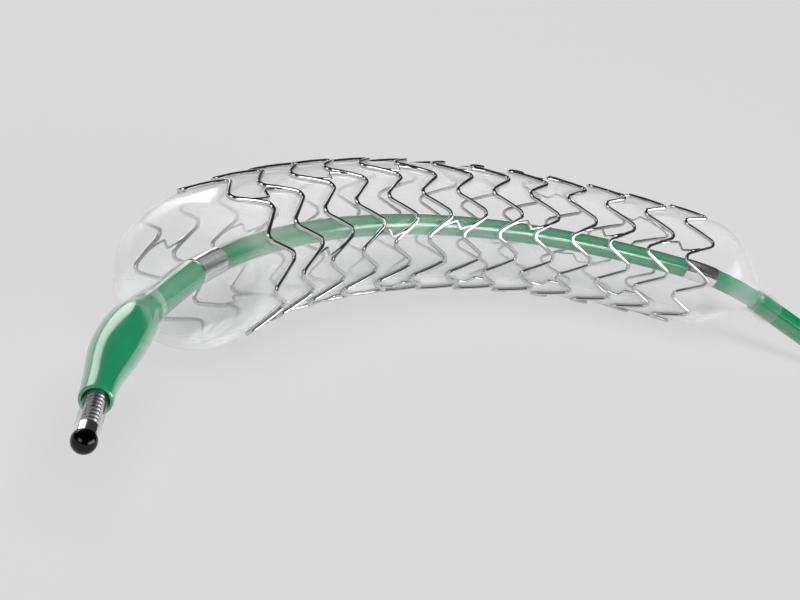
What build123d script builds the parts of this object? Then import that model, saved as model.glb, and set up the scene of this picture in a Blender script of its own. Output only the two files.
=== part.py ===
"""A balloon-expandable vascular stent on the inflated end of its delivery catheter.

The catheter lies flat in a gentle arc. Distances along it are measured from the middle
of the stent, negative towards the soft tip and positive towards the shaft.
"""

import os
from math import asin, atan2, cos, hypot, pi, radians, sin, tan

from build123d import *

# Stent, millimetres and degrees
RING_COUNT = 13
RING_PITCH = 1.34
RING_LENGTH = 0.92
CROWNS = 9
CROWN_RADIUS = 0.12
CROWN_FACETS = 3
WALL_FLATS = 36
STRUT_WIDTH = 0.086
STRUT_THICKNESS = 0.09
STENT_SEAT_CLEARANCE = 0.005
FIRST_CROWN_ANGLE = 11.6
TWIST_PER_RING = -1.84
LINKS_PER_GAP = 3
LINK_WIDTH = 0.05
LINK_THICKNESS = 0.06
LINK_HUMP = 0.1
LINK_STEP = 0.13
WEB_LENGTH = 0.3
WEB_WIDTH = 0.12

# Balloon
BALLOON_DIAMETER = 3.0
BALLOON_WALL = 0.04
DISTAL_OVERHANG = 0.6
DISTAL_SHOULDER_LENGTH = 1.6
PROXIMAL_OVERHANG = 0.35
PROXIMAL_SHOULDER_LENGTH = 2.2
NECK_LENGTH = 0.6
COLLAR_LENGTH = 0.4
COLLAR_WALL = 0.05

# Shafts and bands
INNER_SHAFT_DIAMETER = 0.52
INNER_SHAFT_WALL = 0.04
BAND_WALL = 0.025
BAND_LENGTH = 1.0
DISTAL_BAND_PAST_STENT = 0.0
PROXIMAL_BAND_PAST_STENT = 0.5
OUTER_SHAFT_DIAMETER = 0.62
OUTER_SHAFT_WALL = 0.03
OUTER_SHAFT_INSIDE = 0.1
SHAFT_END = 13.3

# Soft tip
TIP_SHANK_DIAMETER = 0.6
TIP_SHANK_INSIDE = 1.6
TIP_OLIVE_DIAMETER = 0.9
TIP_LENGTH = 3.5
TIP_RIM_DIAMETER = 0.54
TIP_BORE = 0.44

# Guidewire
WIRE_DIAMETER = 0.36
WIRE_JACKET_DIAMETER = 0.4
WIRE_COIL_DIAMETER = 0.3
WIRE_COIL_BORE = 0.2
WIRE_CORE_TIP_DIAMETER = 0.14
WIRE_COIL_LENGTH = 3.2
WIRE_TAPER_LENGTH = 1.0
WIRE_PAST_RIM = 1.1
WELD_LENGTH = 0.2
NOSE_LENGTH = 0.5

# The bends of the catheter
MAIN_BEND_RADIUS = 16.4
TIP_BEND_RADIUS = 14.2
SHAFT_DROP_RADIUS = 9.3
SHAFT_DROP_LENGTH = 2.6

# Sizes that follow
STENT_HALF = ((RING_COUNT - 1) * RING_PITCH + RING_LENGTH) / 2
BALLOON_RADIUS = BALLOON_DIAMETER / 2
STENT_INNER = BALLOON_RADIUS + STENT_SEAT_CLEARANCE
STENT_OUTER = STENT_INNER + STRUT_THICKNESS
STENT_MIDDLE = (STENT_INNER + STENT_OUTER) / 2
AXIS_HEIGHT = STENT_OUTER
INNER_RADIUS = INNER_SHAFT_DIAMETER / 2
OUTER_RADIUS = OUTER_SHAFT_DIAMETER / 2
DISTAL_BODY = -STENT_HALF - DISTAL_OVERHANG
DISTAL_NECK = DISTAL_BODY - DISTAL_SHOULDER_LENGTH
DISTAL_END = DISTAL_NECK - NECK_LENGTH
PROXIMAL_BODY = STENT_HALF + PROXIMAL_OVERHANG
PROXIMAL_NECK = PROXIMAL_BODY + PROXIMAL_SHOULDER_LENGTH
PROXIMAL_END = PROXIMAL_NECK + NECK_LENGTH
TIP_RIM = DISTAL_END - TIP_LENGTH
WIRE_END = TIP_RIM - WIRE_PAST_RIM
STRAIGHT_FROM = TIP_RIM + 0.2
DROP_START = STENT_HALF + 0.1
DROP_END = DROP_START + SHAFT_DROP_LENGTH
CROWN_STEP = 360 / CROWNS
TAPER_STEPS = 3


def bend(start: Plane, toward: Vector, radius: float, run: float) -> Plane:
    """The section plane a run further along a circular bend.

    The plane's z axis is the direction of travel and its x axis stays uppermost.
    """
    angle = run / radius
    travel = start.z_dir * cos(angle) + toward * sin(angle)
    origin = start.origin + start.z_dir * (radius * sin(angle)) + toward * (radius * (1 - cos(angle)))
    return facing(origin, travel)


def facing(origin: Vector, travel: Vector) -> Plane:
    """A section plane with its x axis as near to upward as the direction of travel lets it."""
    up = Vector(0, 0, 1) - travel * travel.Z
    return Plane(origin, x_dir=up, z_dir=travel)


def inward(section: Plane) -> Vector:
    """The level direction towards the hollow side of the arc."""
    return Vector(section.z_dir.Y, -section.z_dir.X, 0).normalized()


def section_at(distance: float) -> Plane:
    """The section plane of the catheter at a distance from the middle of the stent."""
    middle = facing(Vector(0, 0, AXIS_HEIGHT), Vector(1, 0, 0))
    if distance > DROP_START:
        start = bend(middle, inward(middle), MAIN_BEND_RADIUS, DROP_START)
        level = inward(start) / MAIN_BEND_RADIUS
        drop = Vector(0, 0, -1 / SHAFT_DROP_RADIUS)
        curvature = level + drop
        run = min(distance, DROP_END) - DROP_START
        end = bend(start, curvature.normalized(), 1 / curvature.length, run)
        return end.offset(max(distance - DROP_END, 0))
    if distance >= DISTAL_BODY:
        return bend(middle, inward(middle), MAIN_BEND_RADIUS, distance)
    start = bend(middle, inward(middle), MAIN_BEND_RADIUS, DISTAL_BODY)
    run = max(distance, STRAIGHT_FROM) - DISTAL_BODY
    end = bend(start, inward(start), TIP_BEND_RADIUS, run)
    return end.offset(min(distance - STRAIGHT_FROM, 0))


def axis_line(start: float, end: float) -> Wire:
    """The catheter's axis between two distances, as tangent arcs and straight runs."""
    joints = [STRAIGHT_FROM, DISTAL_BODY, DROP_START, DROP_END]
    stops = [start] + [joint for joint in joints if start < joint < end] + [end]
    with BuildLine() as line:
        for near, far in zip(stops, stops[1:]):
            straight = far <= STRAIGHT_FROM or near >= DROP_END
            first = section_at(near).origin
            last = section_at(far).origin
            if straight:
                Line(first, last)
            else:
                ThreePointArc(first, section_at((near + far) / 2).origin, last)
    return line.wire()


def tube(start: float, end: float, outer: float, inner: float = 0) -> Part:
    """A round tube, or a rod where it has no bore, along the catheter's axis."""
    with BuildPart() as piece:
        with BuildSketch(section_at(start)):
            Circle(outer)
            if inner:
                Circle(inner, mode=Mode.SUBTRACT)
        sweep(path=axis_line(start, end))
    return piece.part


def swelling(stations: list) -> Part:
    """A round body whose radius follows pairs of distance and radius along the axis."""
    with BuildPart() as piece:
        for distance, radius in stations:
            with BuildSketch(section_at(distance)):
                Circle(radius)
        loft()
    return piece.part


def taper(start: float, end: float, first: float, last: float) -> Part:
    """A cone from one radius to another that follows the axis."""
    shares = [step / TAPER_STEPS for step in range(TAPER_STEPS + 1)]
    return swelling([(start + (end - start) * run, first + (last - first) * run) for run in shares])


def crown(across: float, side: int, radius: float) -> list:
    """The corners of a rounded crown, from one strut to the next, in the ring's flat outline."""
    sweep_each_way = pi / 2 - strut_slope
    corners = []
    for step in range(CROWN_FACETS + 1):
        angle = sweep_each_way * (2 * step / CROWN_FACETS - 1)
        height = crown_centre + radius * cos(angle)
        corners.append((across + radius * sin(angle), side * height))
    return corners


# One ring of the stent, its axis on Z and a crown at the X axis
half_crown = radians(CROWN_STEP / 2)
half_step = STENT_MIDDLE * sin(half_crown)
crown_centre = (RING_LENGTH - STRUT_WIDTH) / 2 - CROWN_RADIUS
strut_run = hypot(half_step, 2 * crown_centre)
strut_slope = atan2(half_step, 2 * crown_centre) - asin(2 * CROWN_RADIUS / strut_run)
inside = CROWN_RADIUS - STRUT_WIDTH / 2
outside = CROWN_RADIUS + STRUT_WIDTH / 2
with BuildPart() as ring:
    with BuildSketch(Plane.XY.offset(-RING_LENGTH)):
        RegularPolygon(STENT_OUTER, WALL_FLATS)
        RegularPolygon(STENT_INNER / cos(pi / WALL_FLATS), WALL_FLATS, mode=Mode.SUBTRACT)
        reach = 2 * STENT_OUTER
        Polygon(
            (0, 0),
            (reach, -reach * tan(half_crown)),
            (reach, reach * tan(half_crown)),
            align=None,
            mode=Mode.INTERSECT,
        )
    extrude(amount=2 * RING_LENGTH)
    with BuildSketch(Plane.YZ):
        with BuildLine():
            upper = crown(-half_step, -1, inside) + crown(0, 1, outside) + crown(half_step, -1, inside)
            lower = crown(-half_step, -1, outside) + crown(0, 1, inside) + crown(half_step, -1, outside)
            Polyline(*upper, *reversed(lower), close=True)
        make_face()
    extrude(amount=reach, mode=Mode.INTERSECT)
    cell = ring.part
    with PolarLocations(0, CROWNS):
        add(cell)


def ring_place(number: int) -> Location:
    """Where a ring sits, counted from the middle ring, with its share of the twist."""
    section = section_at(number * RING_PITCH)
    turn = FIRST_CROWN_ANGLE + TWIST_PER_RING * number
    return section.location * Location((0, 0, 0), (0, 0, turn))


def strut_middle(number: int, crown_index: float) -> Vector:
    """The middle of a strut, counted in crowns round the ring."""
    angle = radians(CROWN_STEP * crown_index)
    local = Location((STENT_MIDDLE * cos(angle), STENT_MIDDLE * sin(angle), 0))
    return (ring_place(number) * local).position


def link(number: int, crown_index: float, side: int) -> Part:
    """A stepped link from one ring to the next, with a web where it leaves each strut."""
    first = strut_middle(number, crown_index)
    last = strut_middle(number + 1, crown_index)
    middle = (first + last) / 2
    centre = section_at((number + 0.5) * RING_PITCH).origin
    along = (last - first).normalized()
    across = (middle - centre).cross(along).normalized() * side
    half = (last - first).length / 2
    web = half - WEB_LENGTH
    web_rise = LINK_HUMP * WEB_LENGTH / half
    # Half of the outline, from the web to the step, which a half turn repeats
    edge = [
        (-half, -WEB_WIDTH / 2),
        (-web, web_rise - LINK_WIDTH / 2),
        (-LINK_STEP / 2 - LINK_WIDTH / 2, LINK_HUMP - LINK_WIDTH / 2),
        (LINK_STEP / 2 - LINK_WIDTH / 2, -LINK_HUMP - LINK_WIDTH / 2),
        (LINK_STEP / 2 + LINK_WIDTH / 2, -LINK_HUMP - LINK_WIDTH / 2),
        (web, -web_rise - LINK_WIDTH / 2),
        (half, -WEB_WIDTH / 2),
    ]
    turned = [(-x, -y) for x, y in edge]
    with BuildPart() as piece:
        with BuildSketch(Plane(middle, x_dir=along, z_dir=along.cross(across))):
            with BuildLine():
                Polyline(*edge, *turned, close=True)
            make_face()
        extrude(amount=LINK_THICKNESS / 2, both=True)
    return piece.part


with BuildPart() as stent:
    outermost = (RING_COUNT - 1) // 2
    rings = [ring.part.moved(ring_place(number)) for number in range(-outermost, outermost + 1)]
    links = []
    for number in range(-outermost, outermost):
        odd = (number + outermost) % 2 == 0
        first_crown = -0.25 if odd else 1.25
        side = -1 if odd else 1
        for turn in range(LINKS_PER_GAP):
            crowns_on = round(turn * CROWNS / LINKS_PER_GAP)
            links.append(link(number, first_crown + crowns_on, side))
    add(rings + links)


def shoulder(body_end: float, length: float, shares: list, gap: float, neck: float) -> list:
    """Distances and radii of a balloon shoulder, from the body down to the neck."""
    rise = BALLOON_RADIUS - gap - neck
    return [(body_end + length * run, neck + rise * share) for run, share in shares]


def balloon_skin(gap: float, reach: float) -> Part:
    """The balloon's form from neck to neck, drawn in by a gap and its necks run on by a reach."""
    wall = BALLOON_WALL - gap
    distal_neck = TIP_SHANK_DIAMETER / 2 + wall
    proximal_neck = OUTER_RADIUS + wall
    dome = shoulder(DISTAL_BODY, -DISTAL_SHOULDER_LENGTH, DOME_SHARES, gap, distal_neck)
    cone = shoulder(PROXIMAL_BODY, PROXIMAL_SHOULDER_LENGTH, CONE_SHARES, gap, proximal_neck)
    with BuildPart() as skin:
        add(tube(DISTAL_BODY, PROXIMAL_BODY, BALLOON_RADIUS - gap))
        add(swelling(dome))
        add(swelling(cone))
        add(tube(DISTAL_END - reach, DISTAL_NECK, distal_neck))
        add(tube(PROXIMAL_NECK, PROXIMAL_END + reach, proximal_neck))
    return skin.part


# A rounded dome at the tip end and a longer cone at the shaft end, as shares of run and rise
DOME_SHARES = [(0, 1), (0.35, 0.95), (0.68, 0.74), (0.88, 0.42), (1, 0)]
CONE_SHARES = [(0, 1), (0.2, 0.93), (0.5, 0.6), (0.8, 0.2), (1, 0)]

with BuildPart() as balloon:
    add(balloon_skin(0, 0))
    add(balloon_skin(BALLOON_WALL, BALLOON_WALL), mode=Mode.SUBTRACT)

with BuildPart() as neck_collar:
    collar_inner = OUTER_RADIUS + BALLOON_WALL
    add(tube(PROXIMAL_END - COLLAR_LENGTH, PROXIMAL_END, collar_inner + COLLAR_WALL, collar_inner))

with BuildPart() as outer_shaft:
    add(tube(PROXIMAL_NECK - OUTER_SHAFT_INSIDE, SHAFT_END, OUTER_RADIUS, OUTER_RADIUS - OUTER_SHAFT_WALL))

with BuildPart() as inner_shaft:
    add(tube(DISTAL_END, SHAFT_END, INNER_RADIUS, INNER_RADIUS - INNER_SHAFT_WALL))


def marker_band(centre: float) -> Part:
    """A band swaged round the inner shaft."""
    half = BAND_LENGTH / 2
    return tube(centre - half, centre + half, INNER_RADIUS + BAND_WALL, INNER_RADIUS)


with BuildPart() as distal_marker_band:
    add(marker_band(-STENT_HALF - DISTAL_BAND_PAST_STENT))

with BuildPart() as proximal_marker_band:
    add(marker_band(STENT_HALF + PROXIMAL_BAND_PAST_STENT))

with BuildPart() as soft_tip:
    shank_start = DISTAL_NECK + TIP_SHANK_INSIDE
    olive = TIP_OLIVE_DIAMETER / 2
    rim = TIP_RIM_DIAMETER / 2
    shank = TIP_SHANK_DIAMETER / 2
    add(tube(DISTAL_END, shank_start, shank))
    shares = [(0, shank), (0.22, olive * 0.97), (0.5, olive * 0.96), (0.8, rim * 1.15), (1, rim)]
    add(swelling([(DISTAL_END - TIP_LENGTH * run, radius) for run, radius in shares]))
    add(tube(TIP_RIM, DISTAL_END, TIP_BORE / 2), mode=Mode.SUBTRACT)
    add(tube(DISTAL_END, shank_start, INNER_RADIUS), mode=Mode.SUBTRACT)

coil_start = WIRE_END + NOSE_LENGTH + WELD_LENGTH
coil_end = coil_start + WIRE_COIL_LENGTH
weld_end = WIRE_END + NOSE_LENGTH
jacket = WIRE_JACKET_DIAMETER / 2
taper_end = coil_end + WIRE_TAPER_LENGTH
with BuildPart() as guidewire_core:
    add(tube(taper_end, SHAFT_END, WIRE_DIAMETER / 2))
    add(taper(taper_end, coil_end, WIRE_DIAMETER / 2, WIRE_COIL_BORE / 2))
    add(taper(coil_end, coil_start, WIRE_COIL_BORE / 2, WIRE_CORE_TIP_DIAMETER / 2))

with BuildPart() as guidewire_coil:
    add(tube(coil_start, coil_end, WIRE_COIL_DIAMETER / 2, WIRE_COIL_BORE / 2))

with BuildPart() as guidewire_jacket:
    add(tube(coil_start, coil_end, jacket, WIRE_COIL_DIAMETER / 2))

with BuildPart() as guidewire_weld:
    add(tube(weld_end, coil_start, jacket))

with BuildPart() as guidewire_nose:
    section = section_at(weld_end)
    with BuildSketch(Plane(section.origin, x_dir=section.x_dir, z_dir=section.y_dir)):
        with BuildLine():
            Line((0, 0), (jacket, 0))
            Line((jacket, 0), (jacket, NOSE_LENGTH - jacket))
            RadiusArc((jacket, NOSE_LENGTH - jacket), (0, NOSE_LENGTH), -jacket)
            Line((0, NOSE_LENGTH), (0, 0))
        make_face()
    revolve(axis=Axis(section.origin, section.z_dir))

pieces = {
    "stent": stent,
    "balloon": balloon,
    "neck_collar": neck_collar,
    "outer_shaft": outer_shaft,
    "inner_shaft": inner_shaft,
    "distal_marker_band": distal_marker_band,
    "proximal_marker_band": proximal_marker_band,
    "soft_tip": soft_tip,
    "guidewire_core": guidewire_core,
    "guidewire_coil": guidewire_coil,
    "guidewire_jacket": guidewire_jacket,
    "guidewire_weld": guidewire_weld,
    "guidewire_nose": guidewire_nose,
}

# The part's own origin is the middle of its footprint, on the surface it lies on
boxes = [piece.part.bounding_box() for piece in pieces.values()]
middle_x = (min(box.min.X for box in boxes) + max(box.max.X for box in boxes)) / 2
middle_y = (min(box.min.Y for box in boxes) + max(box.max.Y for box in boxes)) / 2
to_base = Location((-middle_x, -middle_y, -min(box.min.Z for box in boxes)))
shaft_end = to_base * section_at(SHAFT_END).location
print("shaft end", shaft_end.position, "pointing", Plane(shaft_end).z_dir)
print("middle of the stent", (to_base * section_at(0).location).position)

os.makedirs("parts", exist_ok=True)
for name, piece in pieces.items():
    finished = piece.part.moved(to_base)
    finished.label = name
    export_step(finished, f"parts/{name}.step")
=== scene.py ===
"""A vascular stent on its inflated delivery balloon, dressed for a pale studio.

The catheter lies in a gentle arc. Distances along its axis are in metres from the middle of the
stent, negative towards the soft tip and positive towards the shaft. A chain is an outline along
that axis, as pairs of distance and radius.
"""

import logging
import math
from dataclasses import dataclass, field
from enum import Enum

import bmesh
import bpy
from mathutils import Matrix, Vector


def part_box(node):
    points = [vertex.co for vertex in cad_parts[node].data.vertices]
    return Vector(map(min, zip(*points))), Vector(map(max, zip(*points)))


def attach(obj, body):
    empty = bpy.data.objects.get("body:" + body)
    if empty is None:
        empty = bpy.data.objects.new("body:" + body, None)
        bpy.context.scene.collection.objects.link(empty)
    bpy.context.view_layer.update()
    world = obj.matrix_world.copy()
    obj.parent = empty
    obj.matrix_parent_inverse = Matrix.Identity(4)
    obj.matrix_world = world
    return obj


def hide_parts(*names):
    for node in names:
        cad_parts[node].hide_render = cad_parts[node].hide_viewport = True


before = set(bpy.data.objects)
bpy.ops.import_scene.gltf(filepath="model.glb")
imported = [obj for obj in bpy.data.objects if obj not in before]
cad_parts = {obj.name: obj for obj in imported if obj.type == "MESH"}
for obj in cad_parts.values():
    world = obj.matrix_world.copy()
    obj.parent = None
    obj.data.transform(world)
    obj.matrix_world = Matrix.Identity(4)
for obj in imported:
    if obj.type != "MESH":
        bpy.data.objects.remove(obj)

LOG = logging.getLogger("stent_scene")
MM = 0.001
BODY = "root"
SHARP_ANGLE = math.radians(40)
MERGE_DISTANCE = 1e-8
Chain = list[tuple[float, float]]
Colour = tuple[float, float, float, float]


class Joining(Enum):
    """How the ends of a swept skin are finished."""

    CAPPED = "capped"
    LOOPED = "looped"


class Value:
    """A shader socket that takes part in Python arithmetic.

    Args:
        nodes: The builder that owns the node tree.
        socket: The output socket that the value stands for.
    """

    def __init__(self, nodes: "Nodes", socket: bpy.types.NodeSocket | None) -> None:
        """Keeps the builder and the socket."""
        self.nodes = nodes
        self.socket = socket

    def _maths(self, operation: str, first: object, second: object, clamp: bool = False) -> "Value":
        """One Math node on two values."""
        settings = {"operation": operation, "use_clamp": clamp}
        return self.nodes.make("ShaderNodeMath", settings, {0: first, 1: second})

    def __add__(self, other: object) -> "Value":
        """The sum with another value."""
        return self._maths("ADD", self, other)

    def __sub__(self, other: object) -> "Value":
        """The difference from another value."""
        return self._maths("SUBTRACT", self, other)

    def __mul__(self, other: object) -> "Value":
        """The product with another value."""
        return self._maths("MULTIPLY", self, other)

    def __pow__(self, other: object) -> "Value":
        """The value raised to a power."""
        return self._maths("POWER", self, other)

    def __rsub__(self, other: object) -> "Value":
        """A number less this value."""
        return self._maths("SUBTRACT", other, self)

    __radd__ = __add__
    __rmul__ = __mul__

    def size(self) -> "Value":
        """The value without its sign."""
        return self._maths("ABSOLUTE", self, 0.0)

    def clamped(self) -> "Value":
        """The value held between 0 and 1."""
        return self._maths("ADD", self, 0.0, clamp=True)


class Nodes:
    """Builds one node tree, a node at a time.

    Args:
        tree: The node tree to fill, which is emptied first.
    """

    def __init__(self, tree: bpy.types.NodeTree) -> None:
        """Keeps the tree and empties it."""
        self.tree = tree
        tree.nodes.clear()

    def make(self, kind: str, settings: dict | None = None, inputs: dict | None = None,
             output: int | str = 0) -> Value:
        """Adds a node.

        Args:
            kind: The node's type.
            settings: Properties of the node, set before its sockets.
            inputs: Sockets by name or number, each with a number, a colour or a Value.
            output: The output socket that the returned value stands for.

        Returns:
            The chosen output socket as a Value, which is empty for a node without outputs.
        """
        node = self.tree.nodes.new(kind)
        for name, setting in (settings or {}).items():
            if name == "stops":
                self._set_stops(node.color_ramp, setting)
            else:
                setattr(node, name, setting)
        for name, given in (inputs or {}).items():
            if isinstance(given, Value):
                self.tree.links.new(given.socket, node.inputs[name])
            else:
                node.inputs[name].default_value = given
        if not node.outputs:
            return Value(self, None)
        return Value(self, node.outputs[output])

    @staticmethod
    def _set_stops(ramp: bpy.types.ColorRamp, stops: tuple) -> None:
        """Places a ramp's stops.

        Args:
            ramp: The ramp to fill.
            stops: Pairs of a position and a colour, in order.
        """
        while len(ramp.elements) > 1:
            ramp.elements.remove(ramp.elements[-1])
        ramp.elements[0].position, ramp.elements[0].color = stops[0]
        for position, colour in stops[1:]:
            ramp.elements.new(position).color = colour

    def place(self, kind: str = "Object") -> Value:
        """Coordinates of one kind."""
        return self.make("ShaderNodeTexCoord", output=kind)

    def height(self, kind: str = "Object") -> Value:
        """The upright one of the coordinates of one kind."""
        return self.make("ShaderNodeSeparateXYZ", None, {"Vector": self.place(kind)}, "Z")

    def noise(self, per_metre: float, detail: float = 3.0) -> Value:
        """A soft noise with about so many lumps in a metre."""
        return self.make("ShaderNodeTexNoise", None,
                         {"Vector": self.place(), "Scale": per_metre, "Detail": detail}, "Fac")

    def ease(self, value: Value, low: float, high: float) -> Value:
        """A smooth rise from 0 at one value to 1 at another."""
        return self.make("ShaderNodeMapRange", {"interpolation_type": "SMOOTHSTEP"},
                         {"Value": value, "From Min": low, "From Max": high}, "Result")

    def mix(self, factor: object, first: object, second: object) -> Value:
        """A blend of two colours, whose sockets on the node go by number."""
        return self.make("ShaderNodeMix", {"data_type": "RGBA"}, {0: factor, 6: first, 7: second}, 2)

    def bump(self, height: Value, strength: float, distance: float) -> Value:
        """A normal that follows a height."""
        return self.make("ShaderNodeBump", None,
                         {"Strength": strength, "Distance": distance, "Height": height}, "Normal")

    def facing(self, blend: float = 0.5) -> Value:
        """How far the surface turns away from the view, from 0 to 1."""
        return self.make("ShaderNodeLayerWeight", None, {"Blend": blend}, "Facing")

    def finish(self, shader: Value) -> None:
        """Links a shader to the material's output."""
        self.make("ShaderNodeOutputMaterial", None, {"Surface": shader})


def grey(level: float) -> Colour:
    """A neutral colour."""
    return (level, level, level, 1.0)


def between(first: tuple, second: tuple, share: float) -> tuple:
    """The point a share of the way from one point to another."""
    return tuple(near + (far - near) * share for near, far in zip(first, second))


@dataclass(frozen=True)
class Finish:
    """What every finish has: a name, a colour and a way to make its material."""

    name: str
    colour: Colour

    def surface(self, nodes: Nodes) -> dict:
        """The sockets of the finish's shader, which each kind of finish gives."""
        raise NotImplementedError

    def material(self) -> bpy.types.Material:
        """Makes the material.

        Returns:
            A new material with the finish's shader.
        """
        made = bpy.data.materials.new(self.name)
        made.use_nodes = True
        nodes = Nodes(made.node_tree)
        nodes.finish(nodes.make("ShaderNodeBsdfPrincipled", None, self.surface(nodes), "BSDF"))
        return made


@dataclass(frozen=True)
class PolishedMetal(Finish):
    """Electropolished metal with faint draw marks."""

    roughness: float
    mark_scale: float = 9000.0
    mark_depth: float = 0.6e-6
    mark_strength: float = 0.25
    mark_tint: float = 0.35
    mark_darkness: float = 0.8
    mark_roughness: float = 0.08

    def surface(self, nodes: Nodes) -> dict:
        """The sockets of the metal's shader.

        Args:
            nodes: The builder of the material's nodes.

        Returns:
            Sockets by name, with their values.
        """
        marks = nodes.noise(self.mark_scale)
        dark = tuple(level * self.mark_darkness for level in self.colour[:3]) + (1.0,)
        return {
            "Base Color": nodes.mix(marks * self.mark_tint, self.colour, dark),
            "Metallic": 1.0,
            "Roughness": marks * self.mark_roughness + self.roughness,
            "Normal": nodes.bump(marks, self.mark_strength, self.mark_depth),
        }


@dataclass(frozen=True)
class ClearFilm(Finish):
    """Clear blown polymer, which is denser where it turns away and carries a painted white highlight at its
    sides.

    The painted highlight is white density added above and below the height of the balloon's axis, in soft
    patches, standing in for reflections of soft lamps.
    """

    face_alpha: float
    edge_alpha: float
    mirror: float
    falloff: float = 3.0
    roughness: float = 0.08
    haze_scale: float = 900.0
    haze_roughness: float = 0.05
    refraction: float = 1.55
    painted_highlight: float = 0.0
    painted_highlight_height: float = 1.895 * MM
    painted_highlight_reach: float = 1.5 * MM
    painted_highlight_band: tuple = (0.5, 0.8)
    patch_scale: float = 420.0
    patch_detail: float = 1.0
    patch_band: tuple = (0.3, 0.6)
    patch_share: float = 0.6

    def painted_highlight_alpha(self, nodes: Nodes) -> Value:
        """How much the painted white highlight patches add to the film's density.

        Args:
            nodes: The builder of the material's nodes.

        Returns:
            The painted highlight's density at each point.
        """
        # Painted highlight: white film density in bands above and below the axis height, broken into soft
        # patches.
        reach = ((nodes.height() - self.painted_highlight_height) * (1 / self.painted_highlight_reach)).size()
        band = nodes.ease(reach, *self.painted_highlight_band)
        patches = nodes.ease(nodes.noise(self.patch_scale, self.patch_detail), *self.patch_band)
        return band * (patches * self.patch_share + (1 - self.patch_share)) * self.painted_highlight

    def surface(self, nodes: Nodes) -> dict:
        """The sockets of the film's shader.

        Args:
            nodes: The builder of the material's nodes.

        Returns:
            Sockets by name, with their values.
        """
        alpha = nodes.facing() ** self.falloff * (self.edge_alpha - self.face_alpha) + self.face_alpha
        # The painted white highlight is added to the film's density here.
        if self.painted_highlight:
            alpha = alpha + self.painted_highlight_alpha(nodes)
        return {
            "Base Color": self.colour,
            "Metallic": self.mirror,
            "Roughness": nodes.noise(self.haze_scale) * self.haze_roughness + self.roughness,
            "IOR": self.refraction,
            "Alpha": alpha.clamped(),
        }


@dataclass(frozen=True)
class TintedPolymer(Finish):
    """Translucent tinted polymer, a little cloudy inside and glossy outside."""

    pale: Colour
    transmission: float
    roughness: float = 0.18
    refraction: float = 1.5
    cloud_scale: float = 1500.0
    cloud_tint: float = 0.4
    cloud_roughness: float = 0.06
    cloud_strength: float = 0.1
    cloud_depth: float = 2e-6
    scatter: float = 0.35
    scatter_colour: tuple = (0.25, 0.6, 0.4)
    scatter_depth: float = 0.4 * MM
    specular: float = 0.8
    coat: float = 1.0
    coat_roughness: float = 0.12
    coat_refraction: float = 1.8

    def surface(self, nodes: Nodes) -> dict:
        """The sockets of the polymer's shader.

        Args:
            nodes: The builder of the material's nodes.

        Returns:
            Sockets by name, with their values.
        """
        cloud = nodes.noise(self.cloud_scale)
        return {
            "Base Color": nodes.mix(cloud * self.cloud_tint, self.colour, self.pale),
            "Roughness": cloud * self.cloud_roughness + self.roughness,
            "IOR": self.refraction,
            "Transmission Weight": self.transmission,
            "Subsurface Weight": self.scatter,
            "Subsurface Radius": self.scatter_colour,
            "Subsurface Scale": self.scatter_depth,
            "Specular IOR Level": self.specular,
            "Coat Weight": self.coat,
            "Coat Roughness": self.coat_roughness,
            "Coat IOR": self.coat_refraction,
            "Normal": nodes.bump(cloud, self.cloud_strength, self.cloud_depth),
        }


STENT_METAL = PolishedMetal("stent_metal", grey(0.66), 0.07)
BAND_METAL = PolishedMetal("band_metal", grey(0.9), 0.06)
WIRE_METAL = PolishedMetal("wire_metal", grey(0.8), 0.22)
# The nose's near-black colour is a painted dark reflection: its polished metal is drawn as if it mirrored a
# dark surround.
NOSE_METAL_PAINTED_DARK = PolishedMetal("nose_metal", grey(0.03), 0.12)
# The balloon film carries a painted white highlight of strength 0.34 above and below its axis.
BALLOON_FILM = ClearFilm("balloon_film", grey(1.0), 0.01, 0.75, mirror=0.2, painted_highlight=0.34)
COLLAR_POLYMER = ClearFilm("collar_polymer", grey(1.0), 0.02, 0.8, mirror=0.2, falloff=4.0)
CLEAR_POLYMER = ClearFilm("clear_polymer", grey(0.5), 0.02, 0.95, mirror=0.9, falloff=5.0)
SHAFT_POLYMER = TintedPolymer("shaft_polymer", (0.002, 0.3, 0.11, 1.0), (0.012, 0.38, 0.18, 1.0), 0.15)
TIP_POLYMER = TintedPolymer("tip_polymer", (0.004, 0.36, 0.15, 1.0), (0.04, 0.46, 0.26, 1.0), 0.3)


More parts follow.
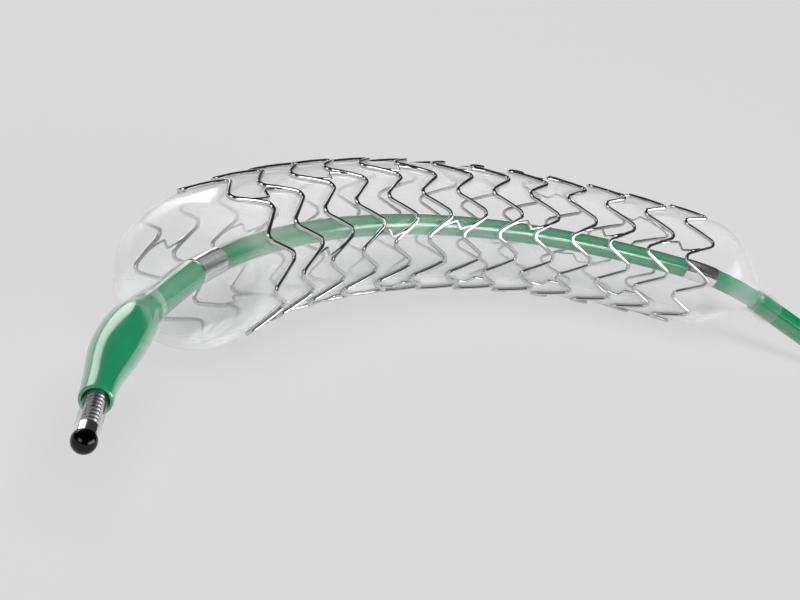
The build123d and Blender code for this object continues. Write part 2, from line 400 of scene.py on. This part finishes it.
@dataclass(frozen=True)
class CatheterAxis:
    """The line that every round piece follows: three tangent arcs with a straight end each way.

    Args:
        origin: The axis at the middle of the stent.
    """

    origin: Vector
    main_radius: float = 16.4 * MM
    tip_radius: float = 14.2 * MM
    drop_radius: float = 9.3 * MM
    drop_length: float = 2.6 * MM
    tip_bend_from: float = -9.1 * MM
    straight_from: float = -14.6 * MM
    drop_from: float = 8.6 * MM

    @staticmethod
    def facing(origin: Vector, travel: Vector) -> Matrix:
        """The section frame at a point.

        Args:
            origin: The point on the axis.
            travel: The direction of travel, of length 1.

        Returns:
            A matrix whose x axis is uppermost and whose z axis is the direction of travel.
        """
        up = (Vector((0, 0, 1)) - travel * travel.z).normalized()
        side = travel.cross(up)
        turn = Matrix((up, side, travel)).transposed().to_4x4()
        return Matrix.Translation(origin) @ turn

    @staticmethod
    def inward(section: Matrix) -> Vector:
        """The level direction towards the hollow side of the arc."""
        travel = section.col[2].to_3d()
        return Vector((travel.y, -travel.x, 0)).normalized()

    def bend(self, start: Matrix, toward: Vector, radius: float, run: float) -> Matrix:
        """The section frame a run further along a circular bend.

        Args:
            start: The section frame where the bend starts.
            toward: The direction to the bend's centre, of length 1.
            radius: The bend's radius.
            run: How far to go round it, which may be negative.

        Returns:
            The section frame at the end of the run.
        """
        travel = start.col[2].to_3d()
        angle = run / radius
        along = travel * math.cos(angle) + toward * math.sin(angle)
        shift = travel * (radius * math.sin(angle)) + toward * (radius * (1 - math.cos(angle)))
        return self.facing(start.translation + shift, along)

    def section(self, distance: float) -> Matrix:
        """The section frame at a distance along the axis.

        Args:
            distance: The distance from the middle of the stent.

        Returns:
            The frame, as `facing` gives it.
        """
        middle = self.facing(self.origin, Vector((1, 0, 0)))
        if distance > self.drop_from:
            start = self.bend(middle, self.inward(middle), self.main_radius, self.drop_from)
            curve = self.inward(start) / self.main_radius + Vector((0, 0, -1 / self.drop_radius))
            run = min(distance - self.drop_from, self.drop_length)
            end = self.bend(start, curve.normalized(), 1 / curve.length, run)
            straight = max(distance - self.drop_from - self.drop_length, 0)
            return end @ Matrix.Translation((0, 0, straight))
        if distance >= self.tip_bend_from:
            return self.bend(middle, self.inward(middle), self.main_radius, distance)
        start = self.bend(middle, self.inward(middle), self.main_radius, self.tip_bend_from)
        run = max(distance, self.straight_from) - self.tip_bend_from
        end = self.bend(start, self.inward(start), self.tip_radius, run)
        return end @ Matrix.Translation((0, 0, min(distance - self.straight_from, 0)))

    def point(self, distance: float, radius: float, angle: float) -> Vector:
        """A point at a radius and a turn round the axis."""
        return self.section(distance) @ Vector((radius * math.cos(angle), radius * math.sin(angle), 0))


def sweep(mesh: bmesh.types.BMesh, section: list, frames: list[Matrix], joining: Joining) -> None:
    """Extrudes a closed section from frame to frame.

    Args:
        mesh: The mesh that the skin is added to.
        section: The vertices of the closed section, which lie in the first frame's plane.
        frames: Matrices that place the section, the first being where it lies now.
        joining: Whether the ends are capped or joined to each other.
    """
    edges = list({edge for vert in section for edge in vert.link_edges})
    first = edges
    here = frames[0]
    for following in frames[1:]:
        grown = bmesh.ops.extrude_edge_only(mesh, edges=edges)["geom"]
        verts = [item for item in grown if isinstance(item, bmesh.types.BMVert)]
        edges = [item for item in grown if isinstance(item, bmesh.types.BMEdge)]
        bmesh.ops.transform(mesh, matrix=following @ here.inverted(), verts=verts)
        here = following
    if joining is Joining.CAPPED:
        for rim in (first, edges):
            bmesh.ops.contextual_create(mesh, geom=rim)
    else:
        bmesh.ops.bridge_loops(mesh, edges=first + edges)


def skin(axis: CatheterAxis, chain: Chain, joining: Joining, segments: int = 48) -> bmesh.types.BMesh:
    """A round skin that follows the catheter's axis.

    Args:
        axis: The catheter's axis.
        chain: Pairs of distance and radius, in order along the skin.
        joining: Capped for a rod, looped for a tube whose chain runs out and back.
        segments: How many sides the skin has round the axis.

    Returns:
        A mesh with its normals outwards.
    """
    mesh = bmesh.new()
    frames = []
    for distance, radius in chain:
        frames.append(axis.section(distance) @ Matrix.Diagonal((radius, radius, radius, 1)))
    made = bmesh.ops.create_circle(mesh, cap_ends=False, segments=segments, radius=1.0, matrix=frames[0])
    sweep(mesh, made["verts"], frames, joining)
    bmesh.ops.remove_doubles(mesh, verts=mesh.verts, dist=MERGE_DISTANCE)
    bmesh.ops.recalc_face_normals(mesh, faces=mesh.faces)
    return mesh


def gather(whole: bmesh.types.BMesh, part: bmesh.types.BMesh) -> None:
    """Moves a small mesh into a larger one.

    Args:
        whole: The mesh that grows.
        part: The mesh that joins it, which is freed.
    """
    data = bpy.data.meshes.new("part")
    part.to_mesh(data)
    part.free()
    whole.from_mesh(data)
    bpy.data.meshes.remove(data)


def steps(start: float, end: float, pitch: float = 0.25 * MM) -> list[float]:
    """Distances from start to end, no more than a pitch apart."""
    count = max(int(math.ceil(abs(end - start) / pitch)), 1)
    return [start + (end - start) * step / count for step in range(count + 1)]


def smooth_chain(stations: Chain, pitch: float = 0.08 * MM) -> Chain:
    """A rounded outline through pairs of distance and radius.

    Args:
        stations: The outline's pairs, in order.
        pitch: How far apart the new pairs lie.

    Returns:
        Pairs along the smooth outline.
    """
    result: Chain = []
    padded = [stations[0]] + stations + [stations[-1]]
    for before, near, far, after in zip(padded, padded[1:], padded[2:], padded[3:]):
        count = max(int(abs(far[0] - near[0]) / pitch), 2)
        run = far[0] - near[0]
        slope_near = (far[1] - before[1]) / ((far[0] - before[0]) or 1)
        slope_far = (after[1] - near[1]) / ((after[0] - near[0]) or 1)
        for step in range(count):
            share = step / count
            cubic = (
                near[1] * (2 * share**3 - 3 * share**2 + 1)
                + slope_near * run * (share**3 - 2 * share**2 + share)
                + far[1] * (3 * share**2 - 2 * share**3)
                + slope_far * run * (share**3 - share**2)
            )
            result.append((near[0] + run * share, cubic))
    return result + [stations[-1]]


def tube_chain(start: float, end: float, outer: float, inner: float, edge: float = 0.0) -> Chain:
    """The chain of a plain tube, out along its outer wall and back along its bore.

    Args:
        start: Where the tube starts.
        end: Where it ends.
        outer: Its outer radius.
        inner: The radius of its bore.
        edge: How far its outer edges are broken, or 0 for sharp ones.

    Returns:
        The tube's pairs of distance and radius.
    """
    out = [(distance, outer) for distance in steps(start, end)]
    back = [(distance, inner) for distance in steps(end, start)]
    if edge:
        lean = math.copysign(edge, end - start)
        out[0], out[-1] = (start + lean, outer), (end - lean, outer)
        out = [(start, outer - edge)] + out + [(end, outer - edge)]
    return out + back


def finish_piece(name: str, mesh: bmesh.types.BMesh, finish: Finish, slot: str, *nodes: str) -> None:
    """Makes an object of a mesh, dresses it and gives it its place in the frame.

    Args:
        name: The piece's name.
        mesh: Its mesh, which is freed.
        finish: The finish to dress it with.
        slot: The record's material slot; not used.
        *nodes: The nodes that it stands for.
    """
    data = bpy.data.meshes.new(name)
    for face in mesh.faces:
        face.smooth = True
    mesh.to_mesh(data)
    mesh.free()
    data.set_sharp_from_angle(angle=SHARP_ANGLE)
    piece = bpy.data.objects.new(name, data)
    bpy.context.scene.collection.objects.link(piece)
    piece.data.materials.append(finish.material())
    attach(piece, BODY)
    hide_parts(*nodes)
    LOG.info("%s: %d faces", name, len(data.polygons))


@dataclass
class Stent:
    """The zigzag rings and the stepped links between them.

    Rings are counted from the middle one. A place in the wall is a distance along the axis and a
    turn round it.
    """

    axis: CatheterAxis
    ring_count: int = 13
    ring_pitch: float = 1.34 * MM
    ring_length: float = 0.92 * MM
    crowns: int = 9
    crown_radius: float = 0.12 * MM
    strut_width: float = 0.086 * MM
    strut_thickness: float = 0.09 * MM
    inner_radius: float = 1.505 * MM
    first_crown_angle: float = math.radians(11.6)
    twist: float = math.radians(-1.84)
    links_per_gap: int = 3
    link_starts: tuple = ((-0.25, -1), (1.25, 1))
    link_width: float = 0.05 * MM
    link_thickness: float = 0.06 * MM
    link_hump: float = 0.1 * MM
    link_step: float = 0.13 * MM
    link_corner: float = 0.035 * MM
    link_pitch: float = 0.08 * MM
    web_length: float = 0.3 * MM
    web_width: float = 0.12 * MM
    crown_steps: int = 9
    strut_shares: tuple = (0.33, 0.67)
    corner_shares: tuple = (0.0, 0.25, 0.5, 0.75, 1.0)
    section_sides: int = 12
    section_roundness: float = 0.35

    @property
    def middle_radius(self) -> float:
        """The radius of the middle of the wall."""
        return self.inner_radius + self.strut_thickness / 2

    def crown_angle(self, ring: int) -> float:
        """The turn of a ring's first crown."""
        return self.first_crown_angle + self.twist * ring

    def zigzag(self) -> Chain:
        """The centre line of one period of a ring.

        Returns:
            Points as distances round and along the ring.
        """
        half_step = self.middle_radius * math.pi / self.crowns
        centre = (self.ring_length - self.strut_width) / 2 - self.crown_radius
        between_centres = math.hypot(half_step, 2 * centre)
        slope = math.atan2(half_step, 2 * centre) - math.asin(2 * self.crown_radius / between_centres)
        swing = math.pi / 2 - slope
        points = []
        for place, side in ((0.0, 1), (half_step, -1)):
            for step in range(self.crown_steps + 1):
                angle = swing * (2 * step / self.crown_steps - 1)
                across = place + self.crown_radius * math.sin(angle)
                points.append((across, side * (centre + self.crown_radius * math.cos(angle))))
            last = points[-1]
            following = (place + half_step - self.crown_radius * math.sin(swing),
                         -side * (centre + self.crown_radius * math.cos(swing)))
            points += [between(last, following, share) for share in self.strut_shares]
        return points

    def wall_frame(self, here: tuple, before: tuple, after: tuple, size: tuple) -> Matrix:
        """The frame of a strut's section in the wall.

        Args:
            here: The section's place in the wall.
            before: The place one step back.
            after: The place one step on.
            size: The section's half thickness and half width.

        Returns:
            A matrix that places a unit section, thickness on x and width on y.
        """
        place = self.axis.point(here[0], self.middle_radius, here[1])
        start = self.axis.point(before[0], self.middle_radius, before[1])
        end = self.axis.point(after[0], self.middle_radius, after[1])
        travel = (end - start).normalized()
        outward = (place - self.axis.section(here[0]).translation).normalized()
        outward = (outward - travel * outward.dot(travel)).normalized()
        across = travel.cross(outward)
        turn = Matrix((outward * size[0], across * size[1], travel * size[1])).transposed().to_4x4()
        return Matrix.Translation(place) @ turn

    def wall_section(self, mesh: bmesh.types.BMesh, placed: Matrix) -> list:
        """A rounded rectangle, one unit each way from its middle.

        Args:
            mesh: The mesh that it is added to.
            placed: The matrix that puts it in the wall.

        Returns:
            Its vertices.
        """
        made = bmesh.ops.create_circle(mesh, cap_ends=False, segments=self.section_sides, radius=1.0)
        for vert in made["verts"]:
            spread = max(abs(vert.co.x), abs(vert.co.y))
            vert.co *= self.section_roundness + (1 - self.section_roundness) / spread
            vert.co.x = max(-1.0, min(1.0, vert.co.x))
            vert.co.y = max(-1.0, min(1.0, vert.co.y))
        bmesh.ops.transform(mesh, matrix=placed, verts=made["verts"])
        return made["verts"]

    def build_ring(self, ring: int) -> bmesh.types.BMesh:
        """One closed ring.

        Args:
            ring: The ring's number.

        Returns:
            The ring's mesh.
        """
        mesh = bmesh.new()
        period = self.zigzag()
        turn = 2 * math.pi / self.crowns
        path = []
        for crown in range(self.crowns):
            for across, along in period:
                angle = self.crown_angle(ring) + crown * turn + across / self.middle_radius
                path.append((ring * self.ring_pitch + along, angle))
        size = (self.strut_thickness / 2, self.strut_width / 2)
        frames = []
        for index, here in enumerate(path):
            before = path[index - 1]
            after = path[(index + 1) % len(path)]
            frames.append(self.wall_frame(here, before, after, size))
        sweep(mesh, self.wall_section(mesh, frames[0]), frames, Joining.LOOPED)
        return mesh

    def link_path(self) -> Chain:
        """The centre line of a link, with its two corners rounded.

        Returns:
            Points as distances along the axis from the gap's middle, and across.
        """
        half = self.ring_pitch / 2
        corners = [(-half, 0.0), (-self.link_step / 2, self.link_hump),
                   (self.link_step / 2, -self.link_hump), (half, 0.0)]
        points = [corners[0]]
        for before, corner, after in zip(corners, corners[1:], corners[2:]):
            near = Vector(before) - Vector(corner)
            far = Vector(after) - Vector(corner)
            near = Vector(corner) + near.normalized() * self.link_corner
            far = Vector(corner) + far.normalized() * self.link_corner
            for share in self.corner_shares:
                pull = Vector(corner) * 2 * share * (1 - share)
                points.append(tuple(near * (1 - share) ** 2 + pull + far * share**2))
        points.append(corners[-1])
        dense = []
        for first, second in zip(points, points[1:]):
            gap = math.hypot(second[0] - first[0], second[1] - first[1])
            count = max(int(gap / self.link_pitch), 1)
            dense += [between(first, second, step / count) for step in range(count)]
        return dense + [points[-1]]

    def build_link(self, ring: int, crown_index: float, side: int) -> bmesh.types.BMesh:
        """One link from a ring to the next, with a web at each end.

        Args:
            ring: The ring that it starts from.
            crown_index: Where it starts, in crowns round from the ring's first.
            side: Which way it steps, 1 or -1.

        Returns:
            The link's mesh.
        """
        mesh = bmesh.new()
        start = self.crown_angle(ring) + crown_index * 2 * math.pi / self.crowns
        half = self.ring_pitch / 2
        middle = (ring + 0.5) * self.ring_pitch
        path = []
        for along, across in self.link_path():
            share = (along + half) / (2 * half)
            angle = start + self.twist * share - side * across / self.middle_radius
            path.append((middle + along, angle))
        frames = []
        for index, here in enumerate(path):
            before = path[max(index - 1, 0)]
            after = path[min(index + 1, len(path) - 1)]
            to_end = half - abs(here[0] - middle)
            web = max(1 - to_end / self.web_length, 0.0)
            width = self.link_width + (self.web_width - self.link_width) * web
            frames.append(self.wall_frame(here, before, after, (self.link_thickness / 2, width / 2)))
        sweep(mesh, self.wall_section(mesh, frames[0]), frames, Joining.CAPPED)
        return mesh

    def build(self) -> bmesh.types.BMesh:
        """The whole stent.

        Returns:
            One mesh of all rings and links.
        """
        mesh = bmesh.new()
        outermost = (self.ring_count - 1) // 2
        for ring in range(-outermost, outermost + 1):
            gather(mesh, self.build_ring(ring))
        for gap, ring in enumerate(range(-outermost, outermost)):
            start, side = self.link_starts[gap % 2]
            for link in range(self.links_per_gap):
                crown_index = start + link * self.crowns / self.links_per_gap
                gather(mesh, self.build_link(ring, crown_index, side))
        bmesh.ops.recalc_face_normals(mesh, faces=mesh.faces)
        return mesh

    def dress(self) -> None:
        """Builds the stent and gives it its finish."""
        finish_piece("stent_mesh", self.build(), STENT_METAL, "stent_metal", "stent")


@dataclass
class Balloon:
    """The clear blown balloon and the collar on its shaft end neck.

    A shoulder's shares are pairs: how far along the shoulder, and how much of its rise is left.
    """

    axis: CatheterAxis
    radius: float = 1.5 * MM
    wall: float = 0.04 * MM
    distal_body: float = -8.8 * MM
    distal_neck: float = -10.35 * MM
    distal_end: float = -11.3 * MM
    distal_neck_radius: float = 0.34 * MM
    proximal_body: float = 8.85 * MM
    proximal_neck: float = 11.05 * MM
    proximal_end: float = 11.65 * MM
    proximal_neck_radius: float = 0.35 * MM
    collar_length: float = 0.4 * MM
    collar_wall: float = 0.05 * MM
    collar_edge: float = 0.015 * MM
    dome: tuple = ((0.0, 1.0), (0.35, 0.95), (0.68, 0.74), (0.88, 0.42), (1.0, 0.0))
    cone: tuple = ((0.0, 1.0), (0.2, 0.93), (0.5, 0.6), (0.8, 0.2), (1.0, 0.0))
    body_pitch: float = 1.5 * MM
    outline_pitch: float = 0.1 * MM
    sides: int = 96

    def shoulder(self, start: float, end: float, shares: tuple, neck: float) -> Chain:
        """The outline of a shoulder, from the body down to the neck."""
        return [(start + (end - start) * run, neck + (self.radius - neck) * rise) for run, rise in shares]

    def outline(self) -> Chain:
        """The outer outline from the distal neck's end to the proximal neck's end.

        Returns:
            The smooth outline's pairs of distance and radius.
        """
        dome = self.shoulder(self.distal_body, self.distal_neck, self.dome, self.distal_neck_radius)
        cone = self.shoulder(self.proximal_body, self.proximal_neck, self.cone, self.proximal_neck_radius)
        along = steps(self.distal_body, self.proximal_body, self.body_pitch)
        body = [(distance, self.radius) for distance in along]
        ends = [(self.distal_end, self.distal_neck_radius), (self.proximal_end, self.proximal_neck_radius)]
        stations = [ends[0]] + dome[::-1] + body[1:-1] + cone + [ends[1]]
        return smooth_chain(stations, self.outline_pitch)

    def build(self) -> bmesh.types.BMesh:
        """The film.

        Returns:
            A thin shell, open at its two necks.
        """
        outer = self.outline()
        inner = [(distance, radius - self.wall) for distance, radius in reversed(outer)]
        return skin(self.axis, outer + inner, Joining.LOOPED, self.sides)

    def dress(self) -> None:
        """Builds the balloon and its collar."""
        finish_piece("balloon_film_mesh", self.build(), BALLOON_FILM, "balloon_film", "balloon")
        collar = tube_chain(self.proximal_end - self.collar_length, self.proximal_end,
                            self.proximal_neck_radius + self.collar_wall, self.proximal_neck_radius,
                            self.collar_edge)
        finish_piece("neck_collar_mesh", skin(self.axis, collar, Joining.LOOPED), COLLAR_POLYMER,
                     "clear_polymer", "neck_collar")


@dataclass
class Shaft:
    """The inner and outer tubes and the two marker bands."""

    axis: CatheterAxis
    inner_radius: float = 0.26 * MM
    inner_wall: float = 0.04 * MM
    outer_radius: float = 0.31 * MM
    outer_wall: float = 0.03 * MM
    outer_start: float = 10.95 * MM
    inner_start: float = -11.3 * MM
    end: float = 13.3 * MM
    band_wall: float = 0.025 * MM
    band_length: float = 1.0 * MM
    band_edge: float = 0.01 * MM
    band_centres: tuple = (-8.5 * MM, 9.0 * MM)

    def dress(self) -> None:
        """Builds the tubes and the bands."""
        inner = tube_chain(self.inner_start, self.end, self.inner_radius, self.inner_radius - self.inner_wall)
        finish_piece("inner_shaft_mesh", skin(self.axis, inner, Joining.LOOPED), SHAFT_POLYMER,
                     "shaft_polymer", "inner_shaft")
        outer = tube_chain(self.outer_start, self.end, self.outer_radius, self.outer_radius - self.outer_wall)
        finish_piece("outer_shaft_mesh", skin(self.axis, outer, Joining.LOOPED), SHAFT_POLYMER,
                     "shaft_polymer", "outer_shaft")
        half = self.band_length / 2
        for side, centre in zip(("distal", "proximal"), self.band_centres):
            band = tube_chain(centre - half, centre + half, self.inner_radius + self.band_wall,
                              self.inner_radius, self.band_edge)
            finish_piece(f"{side}_marker_band_mesh", skin(self.axis, band, Joining.LOOPED), BAND_METAL,
                         "band_metal", f"{side}_marker_band")


@dataclass
class SoftTip:
    """The olive-shaped tip with its shank and bore.

    The shares are pairs: how far along the olive, and its width there as a share of the olive's
    or the rim's radius.
    """

    axis: CatheterAxis
    shank_start: float = -9.1 * MM
    root: float = -11.3 * MM
    length: float = 3.5 * MM
    shank_radius: float = 0.3 * MM
    olive_radius: float = 0.45 * MM
    olive_shares: tuple = ((0.22, 0.97), (0.5, 0.96))
    rim_radius: float = 0.27 * MM
    rim_shares: tuple = ((0.8, 1.15), (1.0, 1.0))
    bore: float = 0.22 * MM
    shank_bore: float = 0.26 * MM
    lip: float = 0.02 * MM

    def build(self) -> bmesh.types.BMesh:
        """The tip.

        Returns:
            One shell with its bore through it.
        """
        widths = [(0.0, self.shank_radius)]
        widths += [(run, self.olive_radius * share) for run, share in self.olive_shares]
        widths += [(run, self.rim_radius * share) for run, share in self.rim_shares]
        olive = smooth_chain([(self.root - self.length * run, radius) for run, radius in widths])
        rim = self.root - self.length
        olive[-1] = (rim + self.lip, self.rim_radius)
        out = [(self.shank_start, self.shank_radius - self.lip),
               (self.shank_start - self.lip, self.shank_radius)]
        out += olive + [(rim, self.rim_radius - self.lip)]
        bore = [(distance, self.bore) for distance in steps(rim, self.root)]
        shank = [(distance, self.shank_bore) for distance in steps(self.root, self.shank_start)]
        return skin(self.axis, out + bore + shank, Joining.LOOPED)

    def dress(self) -> None:
        """Builds the tip and gives it its finish."""
        finish_piece("soft_tip_mesh", self.build(), TIP_POLYMER, "tip_polymer", "soft_tip")


@dataclass
class Guidewire:
    """The tapered core, its coil and jacket, and the polished end."""

    axis: CatheterAxis
    end: float = -16.2 * MM
    nose_length: float = 0.23 * MM
    nose_steps: int = 12
    weld_length: float = 0.25 * MM
    weld_pitch: float = 0.1 * MM
    coil_length: float = 3.72 * MM
    coil_radius: float = 0.15 * MM
    coil_wire: float = 0.062 * MM
    coil_pitch: float = 0.105 * MM
    turn_steps: int = 20
    wire_sides: int = 8
    jacket_radius: float = 0.2 * MM

    @property
    def weld_start(self) -> float:
        """Where the weld meets the nose."""
        return self.end + self.nose_length

    @property
    def coil_start(self) -> float:
        """Where the coil meets the weld."""
        return self.weld_start + self.weld_length

    def build_coil(self) -> bmesh.types.BMesh:
        """The coil.

        Returns:
            The mesh of one wound wire.
        """
        mesh = bmesh.new()
        count = int(self.coil_length / self.coil_pitch) * self.turn_steps
        middle = self.coil_radius - self.coil_wire / 2
        places = []
        for step in range(count + 1):
            along = self.coil_start + self.coil_length * step / count
            places.append(self.axis.point(along, middle, 2 * math.pi * step / self.turn_steps))
        frames = []
        for index, place in enumerate(places):
            travel = (places[min(index + 1, len(places) - 1)] - places[max(index - 1, 0)]).normalized()
            frames.append(self.axis.facing(place, travel) @ Matrix.Scale(self.coil_wire / 2, 4))
        made = bmesh.ops.create_circle(mesh, cap_ends=False, segments=self.wire_sides, radius=1.0,
                                       matrix=frames[0])
        sweep(mesh, made["verts"], frames, Joining.CAPPED)
        bmesh.ops.recalc_face_normals(mesh, faces=mesh.faces)
        return mesh

    def build_nose(self) -> bmesh.types.BMesh:
        """The rounded end of the wire, whose last ring stays half a step short of the pole.

        Returns:
            The nose's mesh.
        """
        straight = self.nose_length - self.jacket_radius
        chain = [(self.weld_start - straight * share, self.jacket_radius) for share in (0.0, 0.5, 1.0)]
        for step in range(1, self.nose_steps + 1):
            angle = math.pi / 2 * step / (self.nose_steps + 0.5)
            along = self.weld_start - straight - self.jacket_radius * math.sin(angle)
            chain.append((along, self.jacket_radius * math.cos(angle)))
        return skin(self.axis, chain, Joining.CAPPED)

    def dress(self) -> None:
        """Builds the wire's pieces and dresses them, with the core as the frame has it."""
        core = bpy.data.objects["guidewire_core"]
        core.data.materials.clear()
        core.data.materials.append(WIRE_METAL.material())
        finish_piece("guidewire_coil_mesh", self.build_coil(), WIRE_METAL, "wire_metal", "guidewire_coil")
        jacket = tube_chain(self.coil_start, self.coil_start + self.coil_length, self.jacket_radius,
                            self.coil_radius)
        finish_piece("guidewire_jacket_mesh", skin(self.axis, jacket, Joining.LOOPED), CLEAR_POLYMER,
                     "clear_polymer", "guidewire_jacket")
        along = steps(self.weld_start, self.coil_start, self.weld_pitch)
        weld = [(distance, self.jacket_radius) for distance in along]
        finish_piece("guidewire_weld_mesh", skin(self.axis, weld, Joining.CAPPED), BAND_METAL,
                     "band_metal", "guidewire_weld")
        # The nose gets the near-black metal, a painted dark reflection.
        finish_piece("guidewire_nose_mesh", self.build_nose(), NOSE_METAL_PAINTED_DARK, "nose_metal", "guidewire_nose")


@dataclass(frozen=True)
class Lamp:
    """A soft rectangular lamp that faces the stent.

    Args:
        name: The lamp's name.
        place: Where it stands from the stent's middle, in millimetres.
        size: Its two sides, in millimetres.
        watts: Its power.
        mirrored: Whether it shows in polished surfaces.
    """

    name: str
    place: tuple[float, float, float]
    size: tuple[float, float]
    watts: float
    mirrored: bool = True

    def add(self, middle: Vector) -> None:
        """Adds the lamp to the scene.

        Args:
            middle: The middle of the stent's axis.
        """
        data = bpy.data.lights.new(self.name, "AREA")
        data.shape = "RECTANGLE"
        data.size = self.size[0] * MM
        data.size_y = self.size[1] * MM
        data.energy = self.watts
        lamp = bpy.data.objects.new(self.name, data)
        lamp.location = middle + Vector(self.place) * MM
        lamp.rotation_euler = (-Vector(self.place)).to_track_quat("-Z", "Y").to_euler()
        lamp.visible_glossy = self.mirrored
        bpy.context.scene.collection.objects.link(lamp)


LAMPS = (
    Lamp("overhead", (-60, -60, 450), (450, 350), 1.9, mirrored=False),
    Lamp("front", (250, -350, 120), (520, 170), 1.3),
    Lamp("left", (-440, -120, 200), (300, 200), 0.5),
    Lamp("rear", (60, 440, 130), (420, 200), 0.5),
)


@dataclass
class Studio:
    """The pale floor, the lamps, the world and the camera.

    Args:
        axis_origin: The middle of the stent's axis, which the camera's place is measured from.
    """

    axis_origin: Vector
    background: float = 0.68
    floor_size: float = 3.0
    floor_albedo: float = 0.8
    floor_glow: float = 0.85
    dome_stops: tuple = ((0.0, grey(0.5)), (0.02, grey(0.04)), (1.0, grey(0.04)))
    camera_offset: Vector = field(default_factory=lambda: Vector((-23.550, -20.958, 10.432)) * MM)
    camera_right: Vector = field(default_factory=lambda: Vector((0.720006, -0.606237, 0.337740)))
    camera_up: Vector = field(default_factory=lambda: Vector((0.016089, 0.501131, 0.865222)))
    camera_clip: tuple = (0.0005, 10.0)
    focal_pixels: float = 1343.6
    picture_width: float = 800.0
    sensor: float = 36.0

    def add_floor(self) -> None:
        """A wide pale floor that shows as an even grey and keeps a soft shadow."""
        mesh = bmesh.new()
        bmesh.ops.create_grid(mesh, x_segments=1, y_segments=1, size=self.floor_size / 2)
        data = bpy.data.meshes.new("floor")
        mesh.to_mesh(data)
        mesh.free()
        floor = bpy.data.objects.new("floor", data)
        bpy.context.scene.collection.objects.link(floor)
        made = bpy.data.materials.new("pale_floor")
        made.use_nodes = True
        nodes = Nodes(made.node_tree)
        lit = nodes.make("ShaderNodeBsdfDiffuse", None, {"Color": grey(self.floor_albedo)})
        glow = nodes.make("ShaderNodeEmission", None, {"Color": grey(self.background), "Strength": 1.0})
        seen = [nodes.make("ShaderNodeLightPath", output=f"Is {kind} Ray")
                for kind in ("Camera", "Glossy", "Transmission")]
        pale = (seen[0] + seen[1] + seen[2]).clamped() * self.floor_glow
        nodes.finish(nodes.make("ShaderNodeMixShader", None, {0: pale, 1: lit, 2: glow}))
        floor.data.materials.append(made)

    def add_world(self) -> None:
        """A dark studio dome, pale only at its lowest, which leaves the metal its black bands."""
        world = bpy.data.worlds.new("studio")
        bpy.context.scene.world = world
        world.use_nodes = True
        nodes = Nodes(world.node_tree)
        dome = nodes.make("ShaderNodeValToRGB", {"stops": self.dome_stops},
                          {"Fac": nodes.height("Generated")}, "Color")
        sky = nodes.make("ShaderNodeBackground", None, {"Color": dome, "Strength": 1.0})
        nodes.make("ShaderNodeOutputWorld", None, {"Surface": sky})

    def add_camera(self) -> None:
        """The camera at the photograph's place and turn."""
        data = bpy.data.cameras.new("camera")
        data.sensor_width = self.sensor
        data.lens = self.focal_pixels * self.sensor / self.picture_width
        data.clip_start, data.clip_end = self.camera_clip
        camera = bpy.data.objects.new("camera", data)
        right = self.camera_right.normalized()
        up = (self.camera_up - right * self.camera_up.dot(right)).normalized()
        turn = Matrix((right, up, right.cross(up))).transposed().to_4x4()
        camera.matrix_world = Matrix.Translation(self.axis_origin + self.camera_offset) @ turn
        bpy.context.scene.collection.objects.link(camera)
        bpy.context.scene.camera = camera

    def build(self) -> None:
        """Sets up the whole studio."""
        self.add_floor()
        self.add_world()
        for lamp in LAMPS:
            lamp.add(self.axis_origin)
        self.add_camera()
        bpy.context.scene.view_settings.view_transform = "Standard"


def axis_origin() -> Vector:
    """The middle of the stent's axis, from the frame's own box of the stent.

    Returns:
        The point that the outermost and lowest crowns stand one outer radius from.
    """
    low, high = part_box("stent")
    outer = Stent.inner_radius + Stent.strut_thickness
    return Vector(((low[0] + high[0]) / 2, high[1] - outer, low[2] + outer))


def main() -> None:
    """Builds every sub-assembly and the studio."""
    logging.basicConfig(level=logging.INFO)
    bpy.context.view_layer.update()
    axis = CatheterAxis(axis_origin())
    for assembly in (Stent(axis), Balloon(axis), Shaft(axis), SoftTip(axis), Guidewire(axis)):
        assembly.dress()
        LOG.info("%s is dressed", type(assembly).__name__)
    Studio(axis.origin).build()


if __name__ == "__main__":
    main()
